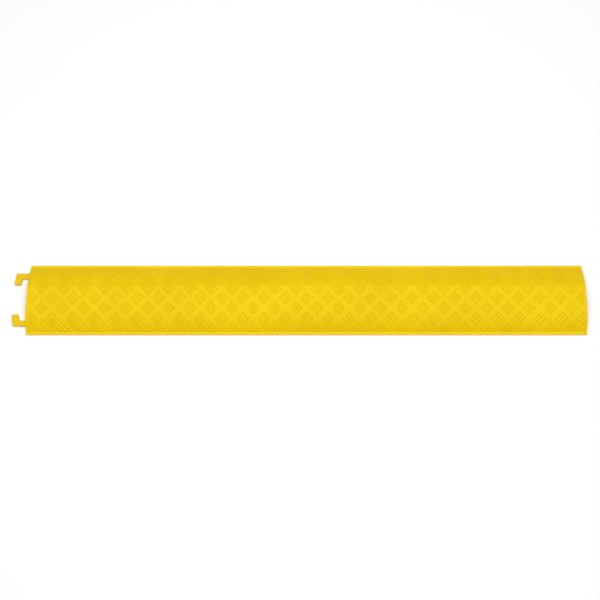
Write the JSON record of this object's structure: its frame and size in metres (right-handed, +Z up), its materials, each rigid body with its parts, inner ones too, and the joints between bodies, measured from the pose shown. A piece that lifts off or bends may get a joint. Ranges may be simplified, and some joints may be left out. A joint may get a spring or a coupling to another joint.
{
  "type": "cable protector ramp",
  "caption": "Low drop-over cable protector with ramped sides, raised tread pattern, open channel underneath, link hooks at one end and sockets for them at the other.",
  "frame": {"origin": "on the ground, in the middle of the whole object, hooks included", "axes": "+X along the cable channel, away from the hooks; +Y across the ramp; +Z up"},
  "size_m": [1.0273, 0.13, 0.02],
  "materials": {
    "cover": "moulded polyurethane, fine satin grain",
    "hooks": "moulded, satin",
    "screws": "stainless, plain",
    "strips": "matt, extruded"
  },
  "bodies": {
    "root": {"cover": "cover", "link_hook_front": "hooks", "link_hook_rear": "hooks", "hook_screw_1": "screws", "hook_screw_2": "screws", "hook_screw_3": "screws", "hook_screw_4": "screws", "grip_strip_front_1": "strips", "grip_strip_front_2": "strips", "grip_strip_front_3": "strips", "grip_strip_front_4": "strips", "grip_strip_front_5": "strips", "grip_strip_rear_1": "strips", "grip_strip_rear_2": "strips", "grip_strip_rear_3": "strips", "grip_strip_rear_4": "strips", "grip_strip_rear_5": "strips"}
  },
  "joints": []
}
